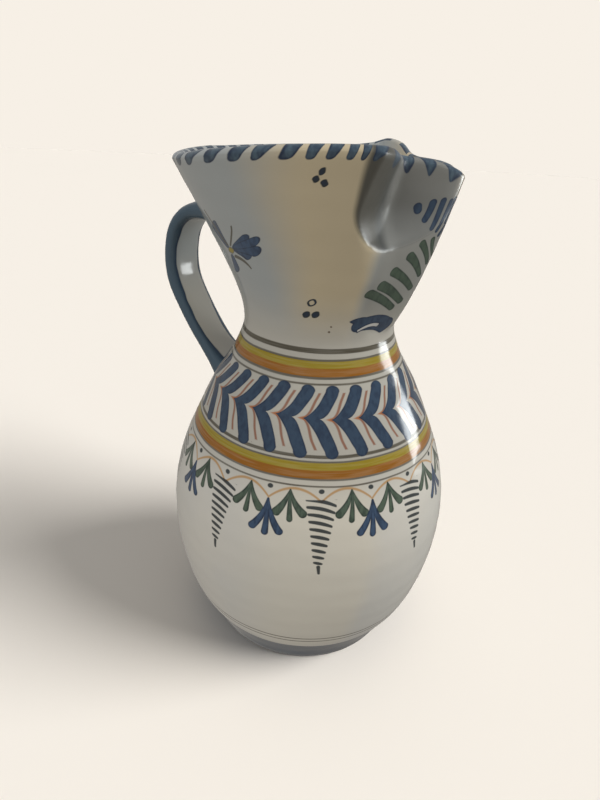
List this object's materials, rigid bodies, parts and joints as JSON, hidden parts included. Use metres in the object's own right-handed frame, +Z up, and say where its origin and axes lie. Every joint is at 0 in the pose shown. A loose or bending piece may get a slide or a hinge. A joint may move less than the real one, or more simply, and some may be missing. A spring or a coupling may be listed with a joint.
{
  "type": "pottery jug",
  "caption": "Glazed pottery jug with a round belly, narrow waist, flared neck, pinched pouring spout and a strap handle, painted with bands, chevrons, swags and sprigs.",
  "frame": {"origin": "centre of the foot, on the underside that the jug stands on", "axes": "+Z up along the axis of the thrown body, +X towards the spout, -X towards the handle"},
  "size_m": [0.1683, 0.151, 0.2641],
  "materials": {
    "glazed_earthenware": "glossy tin glaze over earthenware, hand-painted"
  },
  "bodies": {
    "root": {"jug": "glazed_earthenware"}
  },
  "joints": []
}
